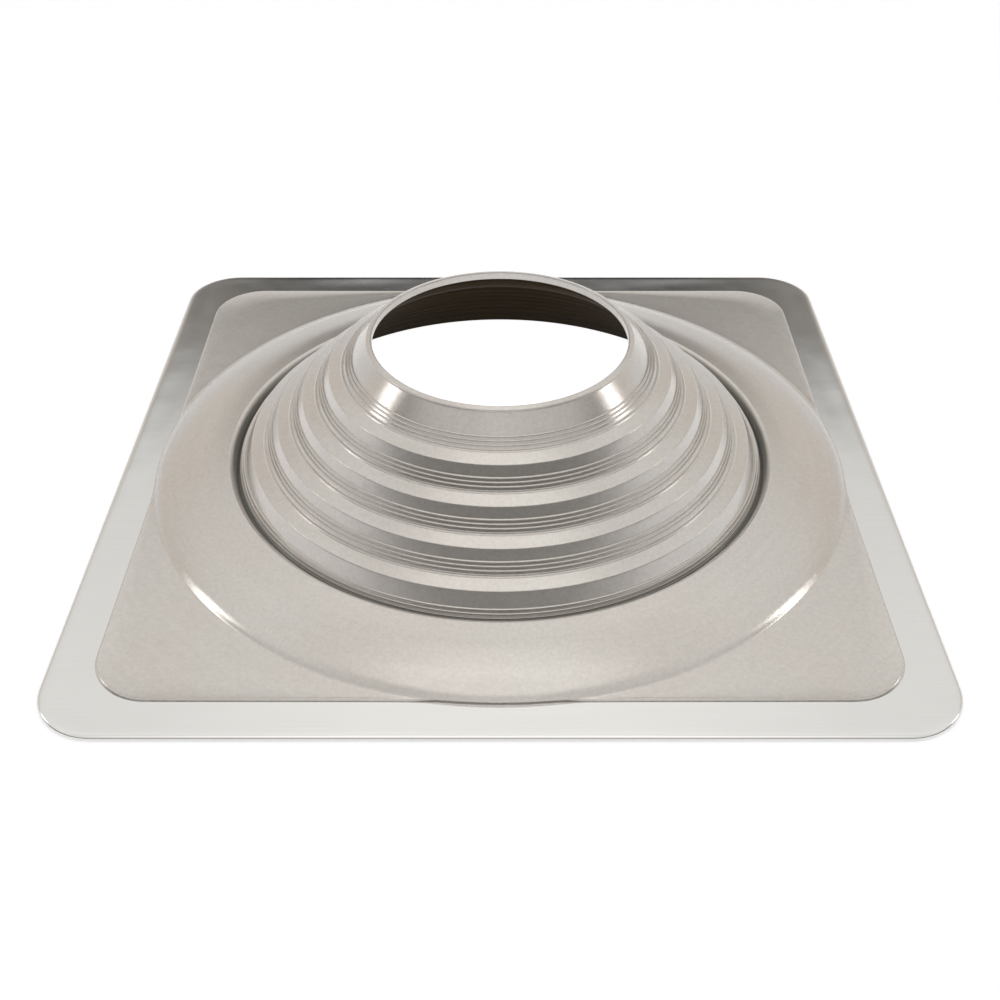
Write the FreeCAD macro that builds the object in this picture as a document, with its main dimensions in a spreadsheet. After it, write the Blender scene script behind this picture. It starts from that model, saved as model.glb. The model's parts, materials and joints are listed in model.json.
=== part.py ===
"""Pipe flashing boot: a stepped rubber cone on a square base, with a soft metal rim.

Millimetres. The origin is on the floor under the middle of the mouth and +Z points up the pipe.
The rubber is one moulding: lip, stepped cone, domed ring, square margin and the ribs that seal
underneath. The rim is a thin square sheet caught in the moulding's edge, with its border folded down.
"""
import FreeCAD, Part
import math
import os

import Sketcher

SIZES = {
    # Lip and collar, from the mouth outwards and down
    "mouth_radius": 84,
    "mouth_length": 4.5,
    "lip_width": 3.3,
    "lip_bevel": 1.2,
    "lip_depth": 2.7,
    "collar_run": 15.7,
    "collar_drop": 16.4,
    # Steps: a tread slopes gently out from each root, and a riser falls from its nose
    "step_run": 18.5,
    "step_drop": 17,
    "tread_run": 10.2,
    "tread_drop": 4.4,
    "last_step_run": 20.1,
    "last_step_drop": 19.4,
    "wall": 2.6,
    # Trimming guides at the foot of each riser
    "guide_pitch": 2.8,
    "guide_height": 0.8,
    # Domed ring round the cone, measured out from the valley and in from the foot
    "valley_height": 11,
    "crest_run": 5.6,
    "crest_rise": 6.5,
    "crest_bevel": 1.5,
    "shoulder_inset": 24,
    "shoulder_height": 12.2,
    "haunch_inset": 11.5,
    "haunch_height": 9.6,
    "foot_overhang": 3.5,
    "core_inset": 8,
    "core_width": 3.5,
    "ring_rib_width": 2.4,
    # Square margin, underside skin and sealing ribs, measured in from the sheet's sides
    "border": 26.5,
    "lap_corner": 36,
    "lap_thickness": 1.2,
    "skin_inset": 6,
    "skin_thickness": 0.8,
    "rib_depth": 0.8,
    "rib_width": 1.8,
    # Metal rim
    "sheet_side": 520,
    "sheet_corner": 38,
    "sheet_gauge": 0.8,
    "fold_bevel": 0.5,
    "fold_clearance": 0.2,
    "capture_clearance": 0.3,
}
STEPS = 4
GUIDES_PER_RISER = 3

SHEET_UNDERSIDE = "(Sizes.rib_depth + Sizes.skin_thickness)"
SHEET_TOP = f"({SHEET_UNDERSIDE} + Sizes.sheet_gauge)"
SHEET_REACH = "(Sizes.sheet_side / 2)"
LAP_REACH = f"({SHEET_REACH} - Sizes.border)"
SKIN_REACH = f"({SHEET_REACH} - Sizes.skin_inset)"
SKIN_CORNER = "(Sizes.sheet_corner - Sizes.skin_inset)"
FOOT_RADIUS = f"({LAP_REACH} + Sizes.foot_overhang)"
CORE_RADIUS = f"({FOOT_RADIUS} - Sizes.core_inset)"
CAVITY_RADIUS = f"({CORE_RADIUS} - Sizes.core_width)"
SHEET_OPENING = f"({CORE_RADIUS} + Sizes.capture_clearance)"

doc = FreeCAD.newDocument("flashing_boot")


# The sheet of driving sizes


def add_sizes():
    """Write every driving size into the spreadsheet, one named cell each."""
    sheet = doc.addObject("Spreadsheet::Sheet", "Sizes")
    for row, (name, size) in enumerate(SIZES.items(), start=1):
        sheet.set(f"A{row}", name)
        sheet.set(f"B{row}", str(size))
        sheet.setAlias(f"B{row}", name)
    doc.recompute()
    return sheet


sizes = add_sizes()


def worth(expression):
    """The number that an expression on the sheet comes to now."""
    return float(sizes.evalExpression(expression))


# Sketch helpers


def add_sketch(body, name, plane, lift="0"):
    """A sketch on one of the body's own origin planes, lifted off it by an expression."""
    support = next(item for item in body.Origin.OriginFeatures if item.Role == plane)
    sketch = body.newObject("Sketcher::SketchObject", name)
    sketch.AttachmentSupport = [(support, "")]
    sketch.MapMode = "FlatFace"
    sketch.setExpression("AttachmentOffset.Base.z", lift)
    return sketch


def bind(sketch, constraint, expression):
    """Add a constraint whose last value follows an expression."""
    index = sketch.addConstraint(Sketcher.Constraint(*constraint, worth(expression)))
    sketch.setExpression(f"Constraints[{index}]", expression)


def pin_start(sketch, curve, point):
    """Hold a curve's first end at a place given by two expressions."""
    bind(sketch, ("DistanceX", -1, 1, curve, 1), point[0])
    bind(sketch, ("DistanceY", -1, 1, curve, 1), point[1])


def vector(point):
    return FreeCAD.Vector(worth(point[0]), worth(point[1]), 0)


def add_outline(sketch, points, corner_radius=None):
    """A closed outline through points; with a corner radius, every other span is a quarter circle."""
    curves = []
    for number, start in enumerate(points):
        finish = points[(number + 1) % len(points)]
        if corner_radius and number % 2 == 0:
            curve = sketch.addGeometry(quarter_circle(vector(start), vector(finish)))
            bind(sketch, ("Radius", curve), corner_radius)
        else:
            curve = sketch.addGeometry(Part.LineSegment(vector(start), vector(finish)))
        curves.append(curve)
    for number, curve in enumerate(curves):
        sketch.addConstraint(Sketcher.Constraint("Coincident", curves[number - 1], 2, curve, 1))
        pin_start(sketch, curve, points[number])


def quarter_circle(start, finish):
    """The anticlockwise quarter circle from one point to another."""
    half = (finish - start) / 2
    middle = start + half + FreeCAD.Vector(-half.y, half.x, 0)
    circle = Part.Circle(middle, FreeCAD.Vector(0, 0, 1), (start - middle).Length)
    return Part.ArcOfCircle(circle, circle.parameter(start), circle.parameter(finish))


def add_circle(sketch, radius):
    curve = sketch.addGeometry(Part.Circle(FreeCAD.Vector(), FreeCAD.Vector(0, 0, 1), worth(radius)))
    sketch.addConstraint(Sketcher.Constraint("Coincident", curve, 3, -1, 1))
    bind(sketch, ("Radius", curve), radius)


def add_rounded_square(sketch, half_side, corner):
    """A square about the origin whose corners are quarter circles."""
    reach = f"({half_side})"
    inset = f"({half_side} - ({corner}))"
    points = [(inset, f"-{reach}"), (reach, f"-{inset}"), (reach, inset), (inset, reach),
              (f"-{inset}", reach), (f"-{reach}", inset), (f"-{reach}", f"-{inset}"), (f"-{inset}", f"-{reach}")]
    add_outline(sketch, points, corner)


def pad(body, sketch, name, length):
    feature = body.newObject("PartDesign::Pad", name)
    feature.Profile = sketch
    feature.setExpression("Length", length)
    doc.recompute()
    return feature


def revolve(body, sketch, name):
    feature = body.newObject("PartDesign::Revolution", name)
    feature.Profile = sketch
    feature.ReferenceAxis = (sketch, ["V_Axis"])
    feature.Angle = 360
    doc.recompute()
    return feature


# The outer corners, as pairs of expressions: distance from the axis, height above the floor


def root(number):
    """The concave corner where a tread starts, counted down from the collar."""
    return (f"({LIP_RADIUS} + Sizes.collar_run + {number} * Sizes.step_run)",
            f"(Sizes.valley_height + Sizes.last_step_drop + {STEPS - 1 - number} * Sizes.step_drop)")


def nose(number):
    """The convex corner where a tread ends and the riser below it starts."""
    across, up = root(number)
    return f"({across} + Sizes.tread_run)", f"({up} - Sizes.tread_drop)"


LIP_RADIUS = "(Sizes.mouth_radius + Sizes.lip_width)"
COLLAR = (LIP_RADIUS, f"({root(0)[1]} + Sizes.collar_drop)")
TOP = f"({COLLAR[1]} + Sizes.lip_depth)"
VALLEY = (f"({root(STEPS - 1)[0]} + Sizes.last_step_run)", "Sizes.valley_height")
CREST = (f"({VALLEY[0]} + Sizes.crest_run)", "(Sizes.valley_height + Sizes.crest_rise)")
SHOULDER = (f"({FOOT_RADIUS} - Sizes.shoulder_inset)", "Sizes.shoulder_height")
HAUNCH = (f"({FOOT_RADIUS} - Sizes.haunch_inset)", "Sizes.haunch_height")


def slope(high, low):
    """Angle below the horizontal of the line from one corner to the next."""
    return f"atan(({high[1]} - {low[1]}) / ({low[0]} - {high[0]}))"


def moved(point, angle, back, proud="0"):
    """The point moved back up a slope at this angle, then out from the slope's face."""
    across = f"({point[0]} - ({back}) * cos({angle}) + ({proud}) * sin({angle}))"
    up = f"({point[1]} + ({back}) * sin({angle}) + ({proud}) * cos({angle}))"
    return across, up


def bevelled(before, corner, after, cut):
    """The two points that take the sharp corner's place."""
    return [moved(corner, slope(before, corner), cut), moved(corner, slope(corner, after), f"-{cut}")]


def guides(high, low):
    """Ridges side by side at the foot of a riser, each one a line to trim the cone along."""
    angle = slope(high, low)
    points = []
    for number in range(GUIDES_PER_RISER, 0, -1):
        points.append(moved(low, angle, f"{number} * Sizes.guide_pitch"))
        points.append(moved(low, angle, f"({number} - 0.5) * Sizes.guide_pitch", "Sizes.guide_height"))
    return points


def outer_face():
    """The outer face from the collar under the lip down to the dome's shoulder."""
    points = [COLLAR] + guides(COLLAR, root(0))
    for number in range(STEPS):
        riser_foot = root(number + 1) if number < STEPS - 1 else VALLEY
        points += [root(number), nose(number)]
        points += guides(nose(number), riser_foot)
    return points + [VALLEY] + bevelled(VALLEY, CREST, SHOULDER, "Sizes.crest_bevel") + [SHOULDER]


def inside_corner(before, corner, after):
    """The corner moved in by the wall, measured square to both faces that meet there."""
    first = slope(before, corner)
    second = slope(corner, after)
    across = f"({corner[0]} + Sizes.wall * (cos({first}) - cos({second})) / sin({first} - {second}))"
    up = f"({corner[1]} + Sizes.wall * (sin({second}) - sin({first})) / sin({first} - {second}))"
    return across, up


def inner_face():
    """The underside, one wall in from the plain steps, from the shoulder back up to the first root."""
    corners = [COLLAR]
    for number in range(STEPS):
        corners += [root(number), nose(number)]
    corners += [VALLEY, CREST, SHOULDER, HAUNCH]
    inside = []
    for number in range(len(corners) - 2, 0, -1):
        inside.append(inside_corner(*corners[number - 1:number + 2]))
    return inside


# The rubber moulding


def lip():
    """The bevelled lip, from the mouth over to its outer side, without the collar's corner."""
    brow = f"({TOP} - Sizes.lip_bevel)"
    return [("Sizes.mouth_radius", f"({brow} - Sizes.mouth_length)"),
            ("Sizes.mouth_radius", brow),
            ("(Sizes.mouth_radius + Sizes.lip_bevel)", TOP),
            (f"({LIP_RADIUS} - Sizes.lip_bevel)", TOP),
            (LIP_RADIUS, brow)]


def foot():
    """Below the shoulder: down to the sheet, then round the core that the sheet butts against."""
    return [HAUNCH,
            (FOOT_RADIUS, SHEET_TOP),
            (CORE_RADIUS, SHEET_TOP),
            (CORE_RADIUS, "Sizes.rib_depth"),
            (CAVITY_RADIUS, "Sizes.rib_depth")]


def add_shell(body):
    """The cone and dome, turned from one half section."""
    section = add_sketch(body, "shell_section", "XZ_Plane")
    add_outline(section, lip() + outer_face() + foot() + inner_face())
    revolve(body, section, "shell")


def add_ring_rib(body):
    """The round sealing rib that reaches from under the outer part of the dome to the floor."""
    section = add_sketch(body, "ring_rib_section", "XZ_Plane")
    middle = f"(({CREST[0]} + 5 * {SHOULDER[0]}) / 6)"
    inner = f"({middle} - Sizes.ring_rib_width / 2)"
    outer = f"({middle} + Sizes.ring_rib_width / 2)"
    head = "(Sizes.shoulder_height - Sizes.wall / 2)"
    add_outline(section, [(inner, "0"), (outer, "0"), (outer, head), (inner, head)])
    revolve(body, section, "ring_rib")


def add_square_layer(body, name, lift, thickness, reach, corner):
    """A square layer of the margin with a round hole that ends inside the dome's foot."""
    plan = add_sketch(body, f"{name}_plan", "XY_Plane", lift)
    add_rounded_square(plan, reach, corner)
    add_circle(plan, f"({CAVITY_RADIUS} + {CORE_RADIUS}) / 2")
    pad(body, plan, name, thickness)


def add_square_rib(body):
    """The square sealing rib under the skin, flush with its edge."""
    plan = add_sketch(body, "square_rib_plan", "XY_Plane")
    add_rounded_square(plan, SKIN_REACH, SKIN_CORNER)
    add_rounded_square(plan, f"({SKIN_REACH} - Sizes.rib_width)", f"({SKIN_CORNER} - Sizes.rib_width)")
    pad(body, plan, "square_rib", "Sizes.rib_depth")


def rubber_boot():
    """The whole moulding as one solid."""
    body = doc.addObject("PartDesign::Body", "rubber_boot")
    add_shell(body)
    add_ring_rib(body)
    add_square_layer(body, "lap", SHEET_TOP, "Sizes.lap_thickness", LAP_REACH, "Sizes.lap_corner")
    add_square_layer(body, "skin", "Sizes.rib_depth", "Sizes.skin_thickness", SKIN_REACH, SKIN_CORNER)
    add_square_rib(body)
    return body


# The metal rim


def aluminium_rim():
    """A square sheet with a round opening, its border folded down just clear of the floor."""
    body = doc.addObject("PartDesign::Body", "aluminium_rim")
    plan = add_sketch(body, "blank_plan", "XY_Plane", "Sizes.fold_clearance")
    add_rounded_square(plan, SHEET_REACH, "Sizes.sheet_corner")
    add_circle(plan, SHEET_OPENING)
    blank = pad(body, plan, "blank", f"{SHEET_TOP} - Sizes.fold_clearance")

    fold = body.newObject("PartDesign::Chamfer", "fold")
    fold.Base = (blank, outer_top_edges(blank.Shape))
    fold.setExpression("Size", "Sizes.fold_bevel")
    doc.recompute()

    hollow_plan = add_sketch(body, "hollow_plan", "XY_Plane")
    add_rounded_square(hollow_plan, f"({SHEET_REACH} - Sizes.sheet_gauge)",
                       "(Sizes.sheet_corner - Sizes.sheet_gauge)")
    hollow = body.newObject("PartDesign::Pocket", "hollow")
    hollow.Profile = hollow_plan
    hollow.Reversed = True
    hollow.setExpression("Length", SHEET_UNDERSIDE)
    doc.recompute()
    return body


def outer_top_edges(shape):
    """Names of the edges round the outside of the top face."""
    top = shape.BoundBox.ZMax
    opening = worth(SHEET_OPENING)
    names = []
    for number, edge in enumerate(shape.Edges, start=1):
        ends = [vertex.Point for vertex in edge.Vertexes]
        is_on_top = all(math.isclose(end.z, top, abs_tol=0.001) for end in ends)
        if is_on_top and all(math.hypot(end.x, end.y) > opening + 1 for end in ends):
            names.append(f"Edge{number}")
    return names


def check(nodes):
    """Stop before anything is written if a feature failed or a solid is unsound."""
    for item in doc.Objects:
        if "Invalid" in item.State or "Error" in item.State:
            raise RuntimeError(f"{item.Label} failed")
    for node in nodes:
        if node.Shape.isNull() or not node.Shape.isValid() or len(node.Shape.Solids) != 1:
            raise RuntimeError(f"{node.Label} isn't one sound solid")


nodes = [rubber_boot(), aluminium_rim()]
for node in nodes:
    node.Placement = FreeCAD.Placement()
doc.recompute()
check(nodes)
os.makedirs("parts", exist_ok=True)
for node in nodes:
    node.Shape.exportStep(f"parts/{node.Label}.step")
    print(node.Label, "volume", round(node.Shape.Volume), "mm3")
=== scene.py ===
import json
import math

import bpy
import numpy as np
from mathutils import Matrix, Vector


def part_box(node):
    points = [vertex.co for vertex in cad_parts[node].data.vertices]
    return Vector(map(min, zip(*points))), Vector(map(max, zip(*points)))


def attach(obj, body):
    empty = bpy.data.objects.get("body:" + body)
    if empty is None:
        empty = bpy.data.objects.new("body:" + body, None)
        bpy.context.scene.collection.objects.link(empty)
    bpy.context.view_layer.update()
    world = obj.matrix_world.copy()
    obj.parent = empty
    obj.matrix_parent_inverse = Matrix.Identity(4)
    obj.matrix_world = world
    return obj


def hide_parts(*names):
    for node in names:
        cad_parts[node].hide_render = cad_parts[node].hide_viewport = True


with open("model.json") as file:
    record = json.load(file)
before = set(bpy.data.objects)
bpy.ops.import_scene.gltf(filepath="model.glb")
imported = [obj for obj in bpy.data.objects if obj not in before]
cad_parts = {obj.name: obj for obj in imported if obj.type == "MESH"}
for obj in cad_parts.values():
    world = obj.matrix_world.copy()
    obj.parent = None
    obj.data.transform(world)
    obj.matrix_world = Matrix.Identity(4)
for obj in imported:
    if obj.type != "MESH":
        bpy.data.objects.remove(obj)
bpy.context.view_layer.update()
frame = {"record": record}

MM = 0.001

# Sizes in millimetres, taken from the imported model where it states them
BOOT = "rubber_boot"
RIM = "aluminium_rim"
MOUTH = next(mount for mount in frame["record"]["mounts"] if mount["name"] == "mouth")
MOUTH_RADIUS = MOUTH["dims"]["r_mm"]
MOUTH_LENGTH = MOUTH["dims"]["length_mm"]
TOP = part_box(BOOT)[1].z / MM
SKIN_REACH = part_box(BOOT)[1].x / MM
SHEET_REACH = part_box(RIM)[1].x / MM
SHEET_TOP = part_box(RIM)[1].z / MM
FOLD_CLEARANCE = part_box(RIM)[0].z / MM

# Cone
LIP_WIDTH = 3.3
LIP_DEPTH = 2.7
LIP_BEVEL = 1.2
LIP_OVERHANG = 0.5
LIP_SIDE = 1.3
WALL = 2.6
STEPS = 4
COLLAR_RUN, COLLAR_DROP = 15.7, 16.4
LAST_RISER_RUN = 20.1
VALLEY_HEIGHT = 11.0
CREST_RUN, CREST_RISE = 5.6, 6.5
MOUTH_FOOT = (MOUTH_RADIUS, TOP - LIP_BEVEL - MOUTH_LENGTH)
COLLAR = (MOUTH_RADIUS + LIP_WIDTH, TOP - LIP_DEPTH)
FIRST_ROOT = (COLLAR[0] + COLLAR_RUN, COLLAR[1] - COLLAR_DROP)
STEP = (18.5, -17.0)
TREAD = (10.5, -3.7)
VALLEY = (FIRST_ROOT[0] + (STEPS - 1) * STEP[0] + LAST_RISER_RUN, VALLEY_HEIGHT)
CREST = (VALLEY[0] + CREST_RUN, VALLEY[1] + CREST_RISE)
LIP_ROUNDING = 0.7
COLLAR_ROUNDING = 0.5
ROOT_ROUNDING = 0.5
NOSE_ROUNDING = 1.0
CREST_ROUNDING = 3.2
VALLEY_ROUNDING = 0.9
DOME_START = CREST[0] + 4.5
HOLD = 0.22

# Trimming guides and the bead at the head of each tread
GUIDES = 3
GUIDE_PITCH = 2.65
GUIDE_START = 1.0
GUIDE_WIDTH = 1.3
GUIDE_HEIGHT = 1.15
BEAD_START = 0.9
BEAD_WIDTH = 1.7
BEAD_HEIGHT = 0.4

# Dome, square margin and underside
BORDER = 26.5
LAP_THICKNESS = 1.2
FOOT_OVERHANG = 3.5
CORE_INSET = 8.0
CORE_WIDTH = 3.5
CAPTURE_CLEARANCE = 0.3
LAP_REACH = SHEET_REACH - BORDER
LAP_CORNER = 36.0
LAP_TOP = SHEET_TOP + LAP_THICKNESS
FOOT_RADIUS = LAP_REACH + FOOT_OVERHANG
CORE_RADIUS = FOOT_RADIUS - CORE_INSET
CAVITY_RADIUS = CORE_RADIUS - CORE_WIDTH
SHOULDER = (FOOT_RADIUS - 24.0, 12.9)
HAUNCH = (FOOT_RADIUS - 11.5, 9.5)
MID_DOME_HEIGHT = 15.8
EDGE_WIDTH = 2.4
EDGE_HEIGHT = 0.15
LOW_EDGE = 0.25
BLEND = 0.6
FOOT_BLEND = 1.5
SHEET_GAUGE = 0.8
SHEET_CORNER = 38.0
SKIN_THICKNESS = 0.8
SKIN_BOTTOM = SHEET_TOP - SHEET_GAUGE - SKIN_THICKNESS
SKIN_BEVEL = 0.3
RIB_WIDTH = 1.8
RIB_BEVEL = 0.2
RING_RIB_WIDTH = 2.4
RING_RIB_RADIUS = (CREST[0] + 5 * SHOULDER[0]) / 6
SHEET_OPENING = CORE_RADIUS + CAPTURE_CLEARANCE

# Where the dome's mesh rings stand, inward from its foot, and the margin's, inward from its edge
FOOT_INSETS = np.array([21, 17, 13, 10, 8, 6.6, 5.6, 4.8, 4.1, 3.5, 2.9, 2.4, 1.9, 1.4, 0.9, 0.4,
                        -0.2, -1, -3])
DOME_CIRCLES = 6
RING_GAP = 0.06
EDGE_INSETS = (2.4, 2.1, 1.85, 1.7)
EDGE_DROP = ((1.4, 0.93), (1.0, 0.72), (0.5, 0.42), (0.12, 0.16))

# The rim's bare border: reach of each ring with its lift over the flat sheet, then the folded edge
RIM_LIFTS = ((233, 0), (237, 0), (241, 0.01), (245, 0.03), (249, 0.07), (252.5, 0.12), (255.5, 0.16),
             (257.5, 0.14), (258.7, -0.02), (259.5, -0.4), (259.9, -0.95))
RIM_FOLD = ((SHEET_REACH, FOLD_CLEARANCE + 0.35), (SHEET_REACH, FOLD_CLEARANCE + 0.1),
            (259.85, FOLD_CLEARANCE), (259.2, FOLD_CLEARANCE), (259.2, 0.8), (258.6, 1.35), (257.6, 1.6))
WAVE_HEIGHT = 0.12
WAVE_START = 236

# Directions round the axis, closer together across the square's corners
SIDE_STEPS = 22
CORNER_STEPS = 20
CORNER_SPREAD = math.radians(7)


def directions():
    """The angles of one mesh ring, the same in every quarter."""
    quarter = math.pi / 2
    half = quarter / 2
    side = np.linspace(0, half - CORNER_SPREAD, SIDE_STEPS, endpoint=False)
    corner = np.linspace(half - CORNER_SPREAD, half + CORNER_SPREAD, CORNER_STEPS,
                         endpoint=False)
    far_side = np.linspace(half + CORNER_SPREAD, quarter, SIDE_STEPS, endpoint=False)
    one = np.concatenate([side, corner, far_side])
    return np.concatenate([one + number * quarter for number in range(4)])


ANGLES = directions()
COUNT = len(ANGLES)


def square_radius(reach, corner):
    """How far a rounded square of this half side reaches in each direction."""
    turn = np.abs((ANGLES + math.pi / 4) % (math.pi / 2) - math.pi / 4)
    middle = reach - corner
    straight = reach / np.cos(turn)
    along = middle * (np.cos(turn) + np.sin(turn))
    inside = np.maximum(corner ** 2 - 2 * middle ** 2 + along ** 2, 0)
    arc = along + np.sqrt(inside)
    return np.where(reach * np.tan(turn) <= middle, straight, arc)


def smooth_max(first, second, blend):
    return (first + second + np.sqrt((first - second) ** 2 + blend ** 2)) / 2


def smooth_step(value):
    value = np.clip(value, 0, 1)
    return value * value * (3 - 2 * value)


def ring(radius, height):
    """One closed ring of points, in metres."""
    radius = np.broadcast_to(radius, COUNT)
    height = np.broadcast_to(height, COUNT)
    return np.stack([radius * np.cos(ANGLES), radius * np.sin(ANGLES), height], axis=1) * MM


def rounded(points):
    """A line whose corners (radius, height, rounding) are turned into short arcs."""
    line = []
    for number, (r, z, rounding) in enumerate(points):
        if not rounding:
            line.append((r, z))
            continue
        here = np.array([r, z])
        back = np.array(points[number - 1][:2]) - here
        ahead = np.array(points[number + 1][:2]) - here
        back_length = np.linalg.norm(back)
        ahead_length = np.linalg.norm(ahead)
        back = back / back_length
        ahead = ahead / ahead_length
        half_turn = (math.pi - math.acos(np.clip(np.dot(back, ahead), -1, 1))) / 2
        cut = min(rounding * math.tan(half_turn), 0.49 * back_length, 0.49 * ahead_length)
        arc_radius = cut / math.tan(half_turn)
        middle = here + (back + ahead) / np.linalg.norm(back + ahead) * math.hypot(cut, arc_radius)
        first = here + back * cut - middle
        across = here + ahead * cut - middle
        pieces = max(2, math.ceil(math.degrees(2 * half_turn) / 14))
        for share in np.linspace(0, 1, pieces + 1):
            blend = (math.sin((1 - share) * 2 * half_turn) * first
                     + math.sin(share * 2 * half_turn) * across) / math.sin(2 * half_turn)
            line.append(tuple(middle + blend))
    return line


def held(line):
    """Adds a point just inside each end of every long run, so that flat faces are shaded flat."""
    points = [line[0]]
    for here, ahead in zip(line, line[1:]):
        length = math.dist(here, ahead)
        if length > 5 * HOLD:
            for share in (HOLD / length, 1 - HOLD / length):
                points.append(tuple(np.array(here) + (np.array(ahead) - np.array(here)) * share))
        points.append(ahead)
    return points


def along(high, low):
    """Unit vectors down a slope and out from its face."""
    run = low[0] - high[0]
    rise = low[1] - high[1]
    length = math.hypot(run, rise)
    return (run / length, rise / length), (-rise / length, run / length)


def bump(base, down, out, start, width, height, pieces=6):
    """A low half-round ridge across the slope, from start to start plus width."""
    points = []
    for number in range(pieces + 1):
        turn = math.pi * number / pieces
        step = start + width * (1 - math.cos(turn)) / 2
        proud = height * math.sin(turn)
        points.append((base[0] + down[0] * step + out[0] * proud,
                       base[1] + down[1] * step + out[1] * proud, 0))
    return points


def root(number):
    return FIRST_ROOT[0] + number * STEP[0], FIRST_ROOT[1] + number * STEP[1]


def nose(number):
    return root(number)[0] + TREAD[0], root(number)[1] + TREAD[1]


def riser_guides(high, low):
    """The trimming guides side by side at the foot of a riser."""
    down, out = along(high, low)
    length = math.dist(high, low)
    points = []
    for number in range(GUIDES, 0, -1):
        start = length - GUIDE_START - number * GUIDE_PITCH + (GUIDE_PITCH - GUIDE_WIDTH) / 2
        points += bump(high, down, out, start, GUIDE_WIDTH, GUIDE_HEIGHT)
    return points


def tread_bead(high, low):
    down, out = along(high, low)
    return bump(high, down, out, BEAD_START, BEAD_WIDTH, BEAD_HEIGHT, 4)


DOME_LINE = np.array([CREST, ((CREST[0] + SHOULDER[0]) / 2, MID_DOME_HEIGHT), SHOULDER, HAUNCH,
                      (FOOT_RADIUS - 1.4, SHEET_TOP + 2.3), (FOOT_RADIUS - 0.2, SHEET_TOP + 1.3),
                      (FOOT_RADIUS + 2.5, SHEET_TOP - 2.2)])
DOME_SLOPES = np.gradient(DOME_LINE[:, 1], DOME_LINE[:, 0])


def dome_height(radius):
    """The dome's smooth outer face, a cubic through its main points."""
    radius = np.clip(radius, DOME_LINE[0, 0], DOME_LINE[-1, 0])
    span = np.searchsorted(DOME_LINE[:, 0], radius, side="right") - 1
    span = np.clip(span, 0, len(DOME_LINE) - 2)
    width = DOME_LINE[span + 1, 0] - DOME_LINE[span, 0]
    share = (radius - DOME_LINE[span, 0]) / width
    start = (1 + 2 * share) * (1 - share) ** 2 * DOME_LINE[span, 1]
    end = share ** 2 * (3 - 2 * share) * DOME_LINE[span + 1, 1]
    leaving = share * (1 - share) ** 2 * width * DOME_SLOPES[span]
    arriving = share ** 2 * (share - 1) * width * DOME_SLOPES[span + 1]
    return start + end + leaving + arriving


def cone_rings():
    """From the mouth over the lip and down the steps to the dome's crest."""
    line = [(*MOUTH_FOOT, 0),
            (MOUTH_RADIUS, TOP, LIP_ROUNDING),
            (COLLAR[0] + LIP_OVERHANG, TOP - LIP_SIDE, LIP_ROUNDING),
            (COLLAR[0] + LIP_OVERHANG, COLLAR[1], COLLAR_ROUNDING)]
    line += riser_guides(COLLAR, root(0))
    for number in range(STEPS):
        foot = root(number + 1) if number < STEPS - 1 else VALLEY
        line.append((*root(number), ROOT_ROUNDING))
        line += tread_bead(root(number), nose(number))
        line.append((*nose(number), NOSE_ROUNDING))
        line += riser_guides(nose(number), foot)
    line += [(*VALLEY, VALLEY_ROUNDING),
             (*CREST, CREST_ROUNDING),
             (DOME_START, float(dome_height(DOME_START)), 0)]
    return [ring(r, z) for r, z in held(rounded(line))]


def lap_edge():
    """The rubber's outer edge: the square, with the dome's foot standing past its sides."""
    square = square_radius(LAP_REACH, LAP_CORNER)
    edge = smooth_max(square, FOOT_RADIUS, FOOT_BLEND)
    squareness = smooth_step((square - FOOT_RADIUS + FOOT_BLEND) / 5)
    return edge, squareness


def margin_height(inset, squareness):
    """Height of the flat margin with its raised, rounded edge, by distance in from the edge."""
    edge = EDGE_HEIGHT * np.sin(np.pi * np.clip(inset / EDGE_WIDTH, 0, 1)) ** 1.2
    flat = LAP_TOP + edge
    return SHEET_TOP + LOW_EDGE + (flat - SHEET_TOP - LOW_EDGE) * squareness


def dome_rings():
    """From the crest down the dome and out over the margin to its edge."""
    edge, squareness = lap_edge()

    def surface(radius, inset):
        return smooth_max(dome_height(radius), margin_height(inset, squareness), BLEND)

    rings = []
    circles = list(np.linspace(CREST[0] + 8, SHOULDER[0], DOME_CIRCLES)) + list(FOOT_RADIUS - FOOT_INSETS)
    for number, circle in enumerate(circles):
        limit = edge - EDGE_WIDTH - RING_GAP * (len(circles) - number)
        radius = np.minimum(circle, limit)
        rings.append(ring(radius, surface(radius, edge - radius)))
    start = np.minimum(circles[-1], edge - EDGE_WIDTH - RING_GAP)
    for share in (0.34, 0.67):
        radius = start + (edge - EDGE_WIDTH - start) * share
        rings.append(ring(radius, surface(radius, edge - radius)))
    for inset in EDGE_INSETS:
        rings.append(ring(edge - inset, surface(edge - inset, inset)))
    last = surface(edge - EDGE_INSETS[-1], EDGE_INSETS[-1])
    for inset, share in EDGE_DROP:
        rings.append(ring(edge - inset, SHEET_TOP + (last - SHEET_TOP) * share))
    rings.append(ring(edge, SHEET_TOP))
    return rings


def inside_corner(before, corner, after):
    """The corner moved in by the wall, square to both faces that meet there."""
    first = math.atan2(before[1] - corner[1], corner[0] - before[0])
    second = math.atan2(corner[1] - after[1], after[0] - corner[0])
    scale = WALL / math.sin(first - second)
    return (corner[0] + scale * (math.cos(first) - math.cos(second)),
            corner[1] + scale * (math.sin(second) - math.sin(first)))


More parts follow.
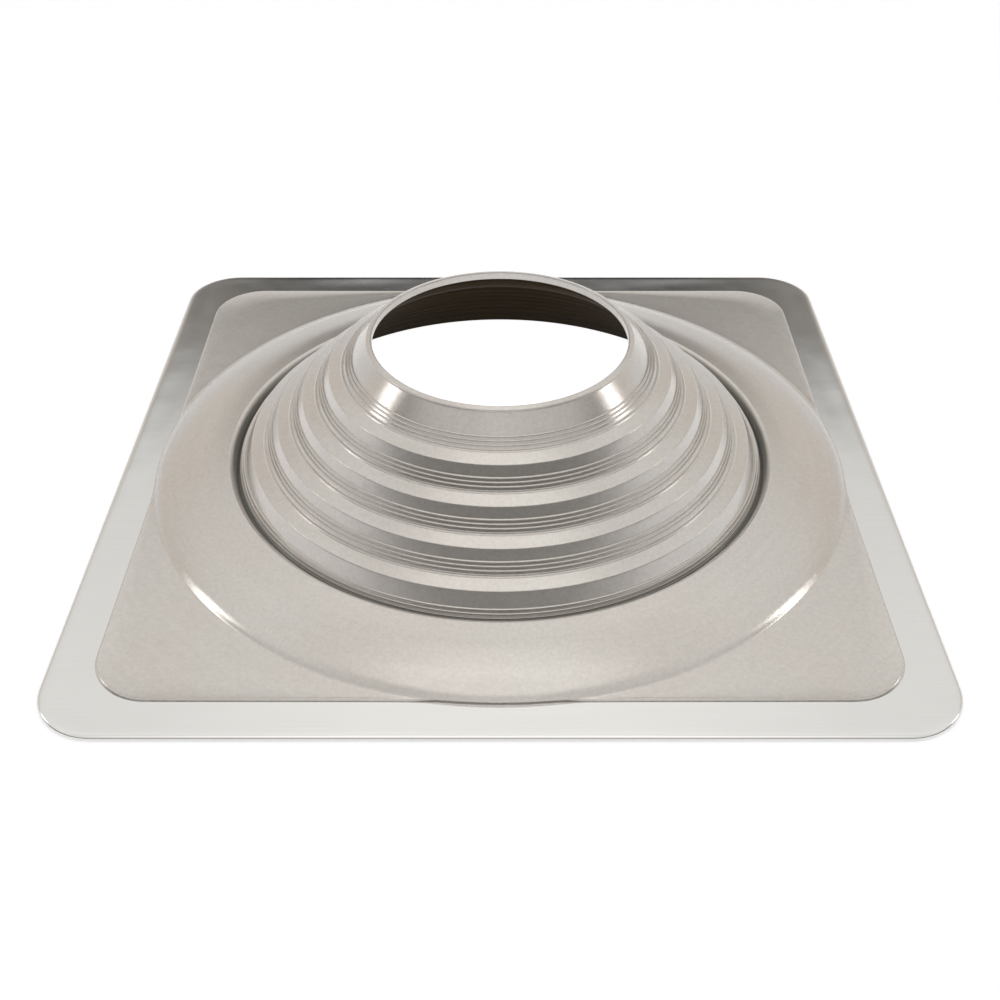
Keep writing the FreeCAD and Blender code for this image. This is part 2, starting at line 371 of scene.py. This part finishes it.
def underside_rings():
    """From the sheet round the skin and its ribs, then up the inside to the mouth."""
    skin_corner = SHEET_CORNER - (SHEET_REACH - SKIN_REACH)
    skin_top = SHEET_TOP - SHEET_GAUGE
    skin_edge = square_radius(SKIN_REACH, skin_corner)
    skin_near_edge = square_radius(SKIN_REACH - SKIN_BEVEL, skin_corner - SKIN_BEVEL)
    rib_inside = square_radius(SKIN_REACH - RIB_WIDTH, skin_corner - RIB_WIDTH)
    rib_near = square_radius(SKIN_REACH - RIB_WIDTH - SKIN_BEVEL, skin_corner - RIB_WIDTH - SKIN_BEVEL)
    rings = [ring(CORE_RADIUS, SHEET_TOP),
             ring(CORE_RADIUS, skin_top),
             ring(skin_near_edge, skin_top),
             ring(skin_edge, skin_top - SKIN_BEVEL),
             ring(skin_edge, SKIN_BEVEL),
             ring(skin_near_edge, 0),
             ring(rib_inside, 0),
             ring(rib_inside, SKIN_BOTTOM - RIB_BEVEL),
             ring(rib_near, SKIN_BOTTOM)]
    corners = [COLLAR]
    for number in range(STEPS):
        corners += [root(number), nose(number)]
    corners += [VALLEY, CREST, SHOULDER, HAUNCH]
    inside = []
    for number in range(len(corners) - 2, 0, -1):
        inside.append(inside_corner(*corners[number - 1:number + 2]))
    shoulder, crest = inside[0], inside[1]
    line = [(CAVITY_RADIUS + 1, SKIN_BOTTOM, 0),
            (CAVITY_RADIUS, SKIN_BOTTOM, SKIN_BEVEL),
            (*shoulder, 3.0)]
    for side, height in ((0.5, None), (0.5, 0), (-0.5, 0), (-0.5, None)):
        radius = RING_RIB_RADIUS + side * RING_RIB_WIDTH
        slope = (crest[1] - shoulder[1]) / (crest[0] - shoulder[0])
        roof = shoulder[1] + slope * (radius - shoulder[0])
        line.append((radius, roof if height is None else height, 0.5))
    line.append((*crest, 1.5))
    line += [(r, z, 1.2) for r, z in inside[2:]]
    line.append((*MOUTH_FOOT, 0))
    return rings + [ring(r, z) for r, z in rounded(line)[:-1]]


def ring_mesh(name, rings, materials, material_of):
    """A closed surface through rings that all have the same number of points."""
    points = np.concatenate(rings)
    total = len(rings)
    faces = []
    indices = []
    for here in range(total):
        ahead = (here + 1) % total
        for side in range(COUNT):
            beside = (side + 1) % COUNT
            faces.append((here * COUNT + side, ahead * COUNT + side,
                          ahead * COUNT + beside, here * COUNT + beside))
            indices.append(material_of(here))
    mesh = bpy.data.meshes.new(name)
    mesh.from_pydata(points.tolist(), [], faces)
    for material in materials:
        mesh.materials.append(material)
    mesh.polygons.foreach_set("material_index", indices)
    mesh.polygons.foreach_set("use_smooth", [True] * len(faces))
    mesh.update()
    mesh.set_sharp_from_angle(angle=math.radians(50))
    piece = bpy.data.objects.new(name, mesh)
    bpy.context.scene.collection.objects.link(piece)
    return piece


def waviness(x, y):
    """Slow ripples left in a soft sheet by handling, from -1 to 1."""
    slow = np.sin(0.051 * x + 0.8) * np.sin(0.043 * y + 1.9)
    quick = np.sin(0.117 * x - 0.061 * y + 2.1) * np.sin(0.094 * y + 0.073 * x)
    return 0.6 * slow + 0.4 * quick


def rim_rings():
    """The sheet from its opening out to the folded edge and back along its underside."""
    rings = [ring(SHEET_OPENING, SHEET_TOP)]
    for reach, lift in RIM_LIFTS:
        radius = square_radius(reach, SHEET_CORNER - (SHEET_REACH - reach))
        free = smooth_step((reach - WAVE_START) / 10) * smooth_step((SHEET_REACH - reach) / 3)
        wave = WAVE_HEIGHT * free * waviness(radius * np.cos(ANGLES), radius * np.sin(ANGLES))
        rings.append(ring(radius, SHEET_TOP + lift + wave))
    for reach, height in RIM_FOLD:
        rings.append(ring(square_radius(reach, SHEET_CORNER - (SHEET_REACH - reach)), height))
    rings.append(ring(SHEET_OPENING, SHEET_TOP - SHEET_GAUGE))
    return rings


# Materials


class Nodes:
    """Short names for building a node material."""

    def __init__(self, name):
        self.material = bpy.data.materials.new(name)
        self.material.use_nodes = True
        self.tree = self.material.node_tree
        self.shader = self.tree.nodes["Principled BSDF"]
        self.place = self.tree.nodes.new("ShaderNodeTexCoord").outputs["Object"]

    def link(self, source, target):
        self.tree.links.new(source, target)

    def mapping(self, scale):
        node = self.tree.nodes.new("ShaderNodeMapping")
        node.inputs["Scale"].default_value = scale
        self.link(self.place, node.inputs["Vector"])
        return node.outputs["Vector"]

    def around(self, across, along_axis, turn):
        """Coordinates wound round the axis: distance out, height and angle, each scaled."""
        split = self.tree.nodes.new("ShaderNodeSeparateXYZ")
        self.link(self.place, split.inputs[0])
        x_squared = self.math("MULTIPLY", split.outputs[0], split.outputs[0])
        y_squared = self.math("MULTIPLY", split.outputs[1], split.outputs[1])
        length = self.math("SQRT", self.math("ADD", x_squared, y_squared))
        angle = self.math("ARCTAN2", split.outputs[1], split.outputs[0])
        join = self.tree.nodes.new("ShaderNodeCombineXYZ")
        self.link(self.math("MULTIPLY", length, across), join.inputs[0])
        self.link(self.math("MULTIPLY", split.outputs[2], along_axis), join.inputs[1])
        self.link(self.math("MULTIPLY", angle, turn), join.inputs[2])
        return join.outputs[0]

    def math(self, operation, first, second=None):
        node = self.tree.nodes.new("ShaderNodeMath")
        node.operation = operation
        for socket, value in zip(node.inputs, (first, second)):
            if value is None:
                continue
            if isinstance(value, (int, float)):
                socket.default_value = value
            else:
                self.link(value, socket)
        return node.outputs[0]

    def noise(self, scale, detail=2.0, roughness=0.5, vector=None):
        node = self.tree.nodes.new("ShaderNodeTexNoise")
        node.inputs["Scale"].default_value = scale
        node.inputs["Detail"].default_value = detail
        node.inputs["Roughness"].default_value = roughness
        self.link(vector or self.place, node.inputs["Vector"])
        return node.outputs["Fac"]

    def ramp(self, factor, stops):
        node = self.tree.nodes.new("ShaderNodeValToRGB")
        elements = node.color_ramp.elements
        while len(elements) < len(stops):
            elements.new(0.5)
        for element, (position, colour) in zip(elements, stops):
            element.position = position
            element.color = (*colour, 1)
        self.link(factor, node.inputs["Fac"])
        return node.outputs["Color"]

    def spread(self, factor, low, high):
        node = self.tree.nodes.new("ShaderNodeMapRange")
        node.inputs["To Min"].default_value = low
        node.inputs["To Max"].default_value = high
        self.link(factor, node.inputs["Value"])
        return node.outputs["Result"]

    def mix(self, factor, first, second, blend="MIX"):
        node = self.tree.nodes.new("ShaderNodeMix")
        node.data_type = "RGBA"
        node.blend_type = blend
        sockets = (node.inputs[0], node.inputs[6], node.inputs[7])
        for socket, value in zip(sockets, (factor, first, second)):
            if isinstance(value, (int, float)):
                socket.default_value = value
            elif isinstance(value, tuple):
                socket.default_value = (*value, 1)
            else:
                self.link(value, socket)
        return node.outputs[2]

    def bump(self, height, strength, distance, below=None):
        node = self.tree.nodes.new("ShaderNodeBump")
        node.inputs["Strength"].default_value = strength
        node.inputs["Distance"].default_value = distance
        self.link(height, node.inputs["Height"])
        if below is not None:
            self.link(below, node.inputs["Normal"])
        return node.outputs["Normal"]


SPECK_TONES = [(0.3, (0.49, 0.46, 0.425)), (0.7, (0.84, 0.81, 0.77))]
STREAK_TONES = [(0.3, (0.50, 0.47, 0.43)), (0.7, (0.84, 0.82, 0.78))]
CLOUD_TONES = [(0.25, (0.665, 0.615, 0.58)), (0.75, (0.68, 0.655, 0.615))]
BARE_TONES = [(0.3, (0.014, 0.0075, 0.0025)), (0.7, (0.115, 0.072, 0.030))]
METAL_TONES = [(0.3, (0.77, 0.765, 0.75)), (0.7, (0.81, 0.80, 0.785))]

# Painted shade: the coat's colour darkened deep in the crease between cone and dome, by four times the
# distance in metres
UNSHADED = (1, 1, 1)
CREASE_SHADE = (0.4, 0.41, 0.41)
CREASE_SCALE = 4
CREASE_SHADE_TONES = [(0.0, UNSHADED), (0.712, UNSHADED), (0.716, CREASE_SHADE), (0.731, CREASE_SHADE), (0.737, UNSHADED), (1.0, UNSHADED)]


def silver_rubber():
    """Moulded rubber with a pearly silver-grey skin: grain, slight clouding and streaks, and painted
    shade in the crease at the cone's foot.
    """
    nodes = Nodes("silver_grey_rubber")
    grain = nodes.noise(1400, 3, 0.6)
    clouds = nodes.noise(9, 3, 0.5)
    streaks = nodes.noise(1.0, 3, 0.5, nodes.around(260, 260, 1.6))
    mottle = nodes.noise(430, 2, 0.6)
    colour = nodes.ramp(clouds, CLOUD_TONES)
    colour = nodes.mix(0.3, colour, nodes.ramp(grain, SPECK_TONES))
    colour = nodes.mix(0.2, colour, nodes.ramp(mottle, SPECK_TONES))
    colour = nodes.mix(0.06, colour, nodes.ramp(streaks, STREAK_TONES))
    # Painted shade: the colour is darkened in a ring deep in the crease at the cone's foot, by distance
    # from the centre
    out = nodes.tree.nodes.new("ShaderNodeVectorMath")
    out.operation = "LENGTH"
    nodes.link(nodes.place, out.inputs[0])
    crease_shade = nodes.ramp(nodes.spread(out.outputs["Value"], 0, CREASE_SCALE), CREASE_SHADE_TONES)
    colour = nodes.mix(1.0, colour, crease_shade, "MULTIPLY")
    nodes.link(colour, nodes.shader.inputs["Base Color"])
    uneven = nodes.math("ADD", grain, nodes.math("MULTIPLY", clouds, 0.6))
    nodes.link(nodes.spread(uneven, 0.07, 0.16), nodes.shader.inputs["Roughness"])
    nodes.shader.inputs["Metallic"].default_value = 0.6
    normal = nodes.bump(grain, 0.25, 0.0002)
    normal = nodes.bump(nodes.noise(90, 2), 0.08, 0.001, normal)
    nodes.link(normal, nodes.shader.inputs["Normal"])
    return nodes.material


def bare_rubber():
    """The dark, unfinished rubber of the inside."""
    nodes = Nodes("dark_brown_rubber")
    grain = nodes.noise(900, 3, 0.6)
    streaks = nodes.noise(1.0, 4, 0.55, nodes.around(60, 420, 0.7))
    colour = nodes.ramp(streaks, BARE_TONES)
    nodes.link(colour, nodes.shader.inputs["Base Color"])
    nodes.link(nodes.spread(grain, 0.42, 0.66), nodes.shader.inputs["Roughness"])
    nodes.shader.inputs["Specular IOR Level"].default_value = 0.02
    nodes.link(nodes.bump(grain, 0.3, 0.0002), nodes.shader.inputs["Normal"])
    return nodes.material


def soft_aluminium():
    """Mill-finish aluminium: faint rolling lines, soft smudges and shallow handling ripples."""
    nodes = Nodes("soft_aluminium")
    rolling = nodes.noise(1.0, 3, 0.6, nodes.mapping((14, 2600, 14)))
    smudges = nodes.noise(22, 4, 0.6)
    colour = nodes.ramp(rolling, METAL_TONES)
    nodes.link(colour, nodes.shader.inputs["Base Color"])
    nodes.link(nodes.spread(smudges, 0.07, 0.15), nodes.shader.inputs["Roughness"])
    nodes.shader.inputs["Metallic"].default_value = 1.0
    normal = nodes.bump(rolling, 0.02, 0.0001)
    normal = nodes.bump(nodes.noise(28, 2), 0.05, 0.0015, normal)
    nodes.link(normal, nodes.shader.inputs["Normal"])
    return nodes.material


# The part

silver = silver_rubber()
dark = bare_rubber()
aluminium = soft_aluminium()

outer_rings = cone_rings() + dome_rings()
inner_rings = underside_rings()
FIRST_COATED = 1
LAST_COATED = len(outer_rings) + 5
boot = ring_mesh("boot_moulding", outer_rings + inner_rings, [silver, dark],
                 lambda number: 0 if FIRST_COATED <= number <= LAST_COATED else 1)
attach(boot, "root")
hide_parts(BOOT)

sheet = ring_mesh("rim_sheet", rim_rings(), [aluminium], lambda number: 0)
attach(sheet, "root")
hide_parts(RIM)

# Floor, rising into a low round backdrop far behind the part

FLOOR_LINE = [(0.5, 0.0), (4.6, 0.0), (5.2, 0.06), (5.6, 0.25), (5.85, 0.6), (5.96, 1.05),
              (6.0, 1.6)]
FLOOR_SIDES = 96
FLOOR_COLOUR = (0.93, 0.94, 0.97, 1)

# What the floor adds to its own shading when seen: painted light, full white under the boot, where it
# shows through the mouth, covering the boot's shadow there, and from there out only enough to bring the
# lit floor to white
WHITE_REACH = 0.19
OPEN_REACH = 0.23
WHITE_GLOW = 1.0
OPEN_GLOW = 0.325


def add_floor():
    points = [(0, 0, 0)]
    for radius, height in FLOOR_LINE:
        for side in range(FLOOR_SIDES):
            angle = 2 * math.pi * side / FLOOR_SIDES
            points.append((radius * math.cos(angle), radius * math.sin(angle), height))
    faces = []
    for side in range(FLOOR_SIDES):
        beside = (side + 1) % FLOOR_SIDES
        faces.append((0, 1 + side, 1 + beside))
        for number in range(len(FLOOR_LINE) - 1):
            near = 1 + number * FLOOR_SIDES
            far = near + FLOOR_SIDES
            faces.append((near + side, far + side, far + beside, near + beside))
    mesh = bpy.data.meshes.new("floor")
    mesh.from_pydata(points, [], faces)
    mesh.polygons.foreach_set("use_smooth", [True] * len(faces))
    floor = bpy.data.objects.new("floor", mesh)
    bpy.context.scene.collection.objects.link(floor)
    material = bpy.data.materials.new("pale_floor")
    material.use_nodes = True
    tree = material.node_tree
    shader = tree.nodes["Principled BSDF"]
    shader.inputs["Base Color"].default_value = FLOOR_COLOUR
    shader.inputs["Roughness"].default_value = 0.9
    shader.inputs["Specular IOR Level"].default_value = 0.0

    def combine(operation, first, second):
        node = tree.nodes.new("ShaderNodeMath")
        node.operation = operation
        tree.links.new(first, node.inputs[0])
        tree.links.new(second, node.inputs[1])
        return node.outputs[0]

    path = tree.nodes.new("ShaderNodeLightPath").outputs
    seen = combine("MAXIMUM", path["Is Camera Ray"], path["Is Glossy Ray"])
    seen = combine("MAXIMUM", seen, path["Is Transmission Ray"])
    place = tree.nodes.new("ShaderNodeTexCoord")
    distance = tree.nodes.new("ShaderNodeVectorMath")
    distance.operation = "LENGTH"
    tree.links.new(place.outputs["Object"], distance.inputs[0])
    # Painted light: the glow rises to full white under the boot, over the boot's shadow
    level = tree.nodes.new("ShaderNodeMapRange")
    level.inputs["From Min"].default_value = WHITE_REACH
    level.inputs["From Max"].default_value = OPEN_REACH
    level.inputs["To Min"].default_value = WHITE_GLOW
    level.inputs["To Max"].default_value = OPEN_GLOW
    tree.links.new(distance.outputs["Value"], level.inputs["Value"])
    shader.inputs["Emission Color"].default_value = (1, 1, 1, 1)
    tree.links.new(combine("MULTIPLY", seen, level.outputs["Result"]),
                   shader.inputs["Emission Strength"])
    mesh.materials.append(material)


add_floor()

# Light: a bright ceiling and softer side walls over a dark horizon, and a softbox high on each side

CEILING = [(0.0, 0.1), (0.3, 0.07), (0.42, 0.03), (0.49, 0.02), (0.52, 0.05), (0.55, 0.18), (0.585, 0.48),
           (0.62, 0.64), (0.68, 0.67), (0.84, 0.76), (0.90, 0.68), (0.94, 0.73), (0.968, 0.95),
           (0.985, 0.96), (1.0, 0.84)]
CEILING_TINT = (1, 0.99, 0.965)
CEILING_LEAN = math.radians(3)
WALL_TINT = (1.0, 0.935, 0.86, 1)
WALL_LEVEL = 0.53
WORLD_STRENGTH = 1.4
SOFTBOX_PLACE = (1.12, 0.065, 0.65)
SOFTBOX_SIZE = (0.17, 0.27)
SOFTBOX_POWER = 0.55


def world_nodes(tree):
    """Brightness by direction: the ceiling by height, the walls by distance to the side."""
    def node(kind, **settings):
        made = tree.nodes.new(kind)
        for name, value in settings.items():
            setattr(made, name, value)
        return made

    def share(source, low, high, start, end):
        made = node("ShaderNodeMapRange", interpolation_type="SMOOTHSTEP")
        limits = {"From Min": low, "From Max": high, "To Min": start, "To Max": end}
        for name, value in limits.items():
            made.inputs[name].default_value = value
        tree.links.new(source, made.inputs["Value"])
        return made.outputs["Result"]

    def multiply(first, second):
        made = node("ShaderNodeMath", operation="MULTIPLY")
        tree.links.new(first, made.inputs[0])
        tree.links.new(second, made.inputs[1])
        return made.outputs[0]

    direction = node("ShaderNodeTexCoord").outputs["Generated"]
    split = node("ShaderNodeSeparateXYZ")
    tree.links.new(direction, split.inputs[0])
    side = node("ShaderNodeMath", operation="ABSOLUTE")
    tree.links.new(split.outputs["X"], side.inputs[0])
    height = node("ShaderNodeVectorMath", operation="DOT_PRODUCT")
    height.inputs[1].default_value = (0, math.sin(CEILING_LEAN), math.cos(CEILING_LEAN))
    tree.links.new(direction, height.inputs[0])
    ceiling = node("ShaderNodeValToRGB")
    elements = ceiling.color_ramp.elements
    while len(elements) < len(CEILING):
        elements.new(0.5)
    for element, (position, level) in zip(elements, CEILING):
        element.position = position
        element.color = (*(level * tint for tint in CEILING_TINT), 1)
    tree.links.new(height.outputs["Value"], ceiling.inputs["Fac"])
    front = share(split.outputs["Y"], -0.4, 0.12, 0.84, 1.0)
    flank = share(side.outputs[0], 0.08, 0.3, 1.0, 0.9)
    top = node("ShaderNodeMix", data_type="RGBA", blend_type="MULTIPLY")
    top.inputs[0].default_value = 1.0
    tree.links.new(ceiling.outputs["Color"], top.inputs[6])
    tree.links.new(multiply(front, flank), top.inputs[7])
    wall = node("ShaderNodeMix", data_type="RGBA", blend_type="MULTIPLY")
    wall.inputs[0].default_value = 1.0
    wall.inputs[6].default_value = WALL_TINT
    tree.links.new(multiply(share(side.outputs[0], 0.1, 0.42, 0.0, WALL_LEVEL),
                            share(split.outputs["Y"], -0.35, 0.3, 0.0, 1.0)), wall.inputs[7])
    both = node("ShaderNodeMix", data_type="RGBA", blend_type="LIGHTEN")
    both.inputs[0].default_value = 1.0
    tree.links.new(top.outputs[2], both.inputs[6])
    tree.links.new(wall.outputs[2], both.inputs[7])
    return both.outputs[2]


def add_world():
    world = bpy.data.worlds.new("studio")
    bpy.context.scene.world = world
    world.use_nodes = True
    background = world.node_tree.nodes["Background"]
    world.node_tree.links.new(world_nodes(world.node_tree), background.inputs["Color"])
    background.inputs["Strength"].default_value = WORLD_STRENGTH


def add_softbox(name, side):
    light = bpy.data.lights.new(name, "AREA")
    light.shape = "RECTANGLE"
    light.size, light.size_y = SOFTBOX_SIZE
    light.energy = SOFTBOX_POWER
    lamp = bpy.data.objects.new(name, light)
    bpy.context.scene.collection.objects.link(lamp)
    lamp.location = (side * SOFTBOX_PLACE[0], *SOFTBOX_PLACE[1:])
    lamp.rotation_euler = (-lamp.location).to_track_quat("-Z", "Y").to_euler()


add_world()
add_softbox("softbox_left", -1)
add_softbox("softbox_right", 1)

# Camera

FOCAL_LENGTH = 45.82
CAMERA_BACK = 2.773 * SHEET_REACH * MM
CAMERA_UP = 2.034 * SHEET_REACH * MM
CAMERA_PITCH = math.radians(38.18)

camera_data = bpy.data.cameras.new("camera")
camera_data.lens = FOCAL_LENGTH
camera_data.sensor_width = 36.0
camera_data.clip_start = 0.01
camera = bpy.data.objects.new("camera", camera_data)
bpy.context.scene.collection.objects.link(camera)
camera.location = (0.0, -CAMERA_BACK, CAMERA_UP)
camera.rotation_euler = (math.pi / 2 - CAMERA_PITCH, 0, 0)
bpy.context.scene.camera = camera
bpy.context.scene.view_settings.view_transform = "Standard"
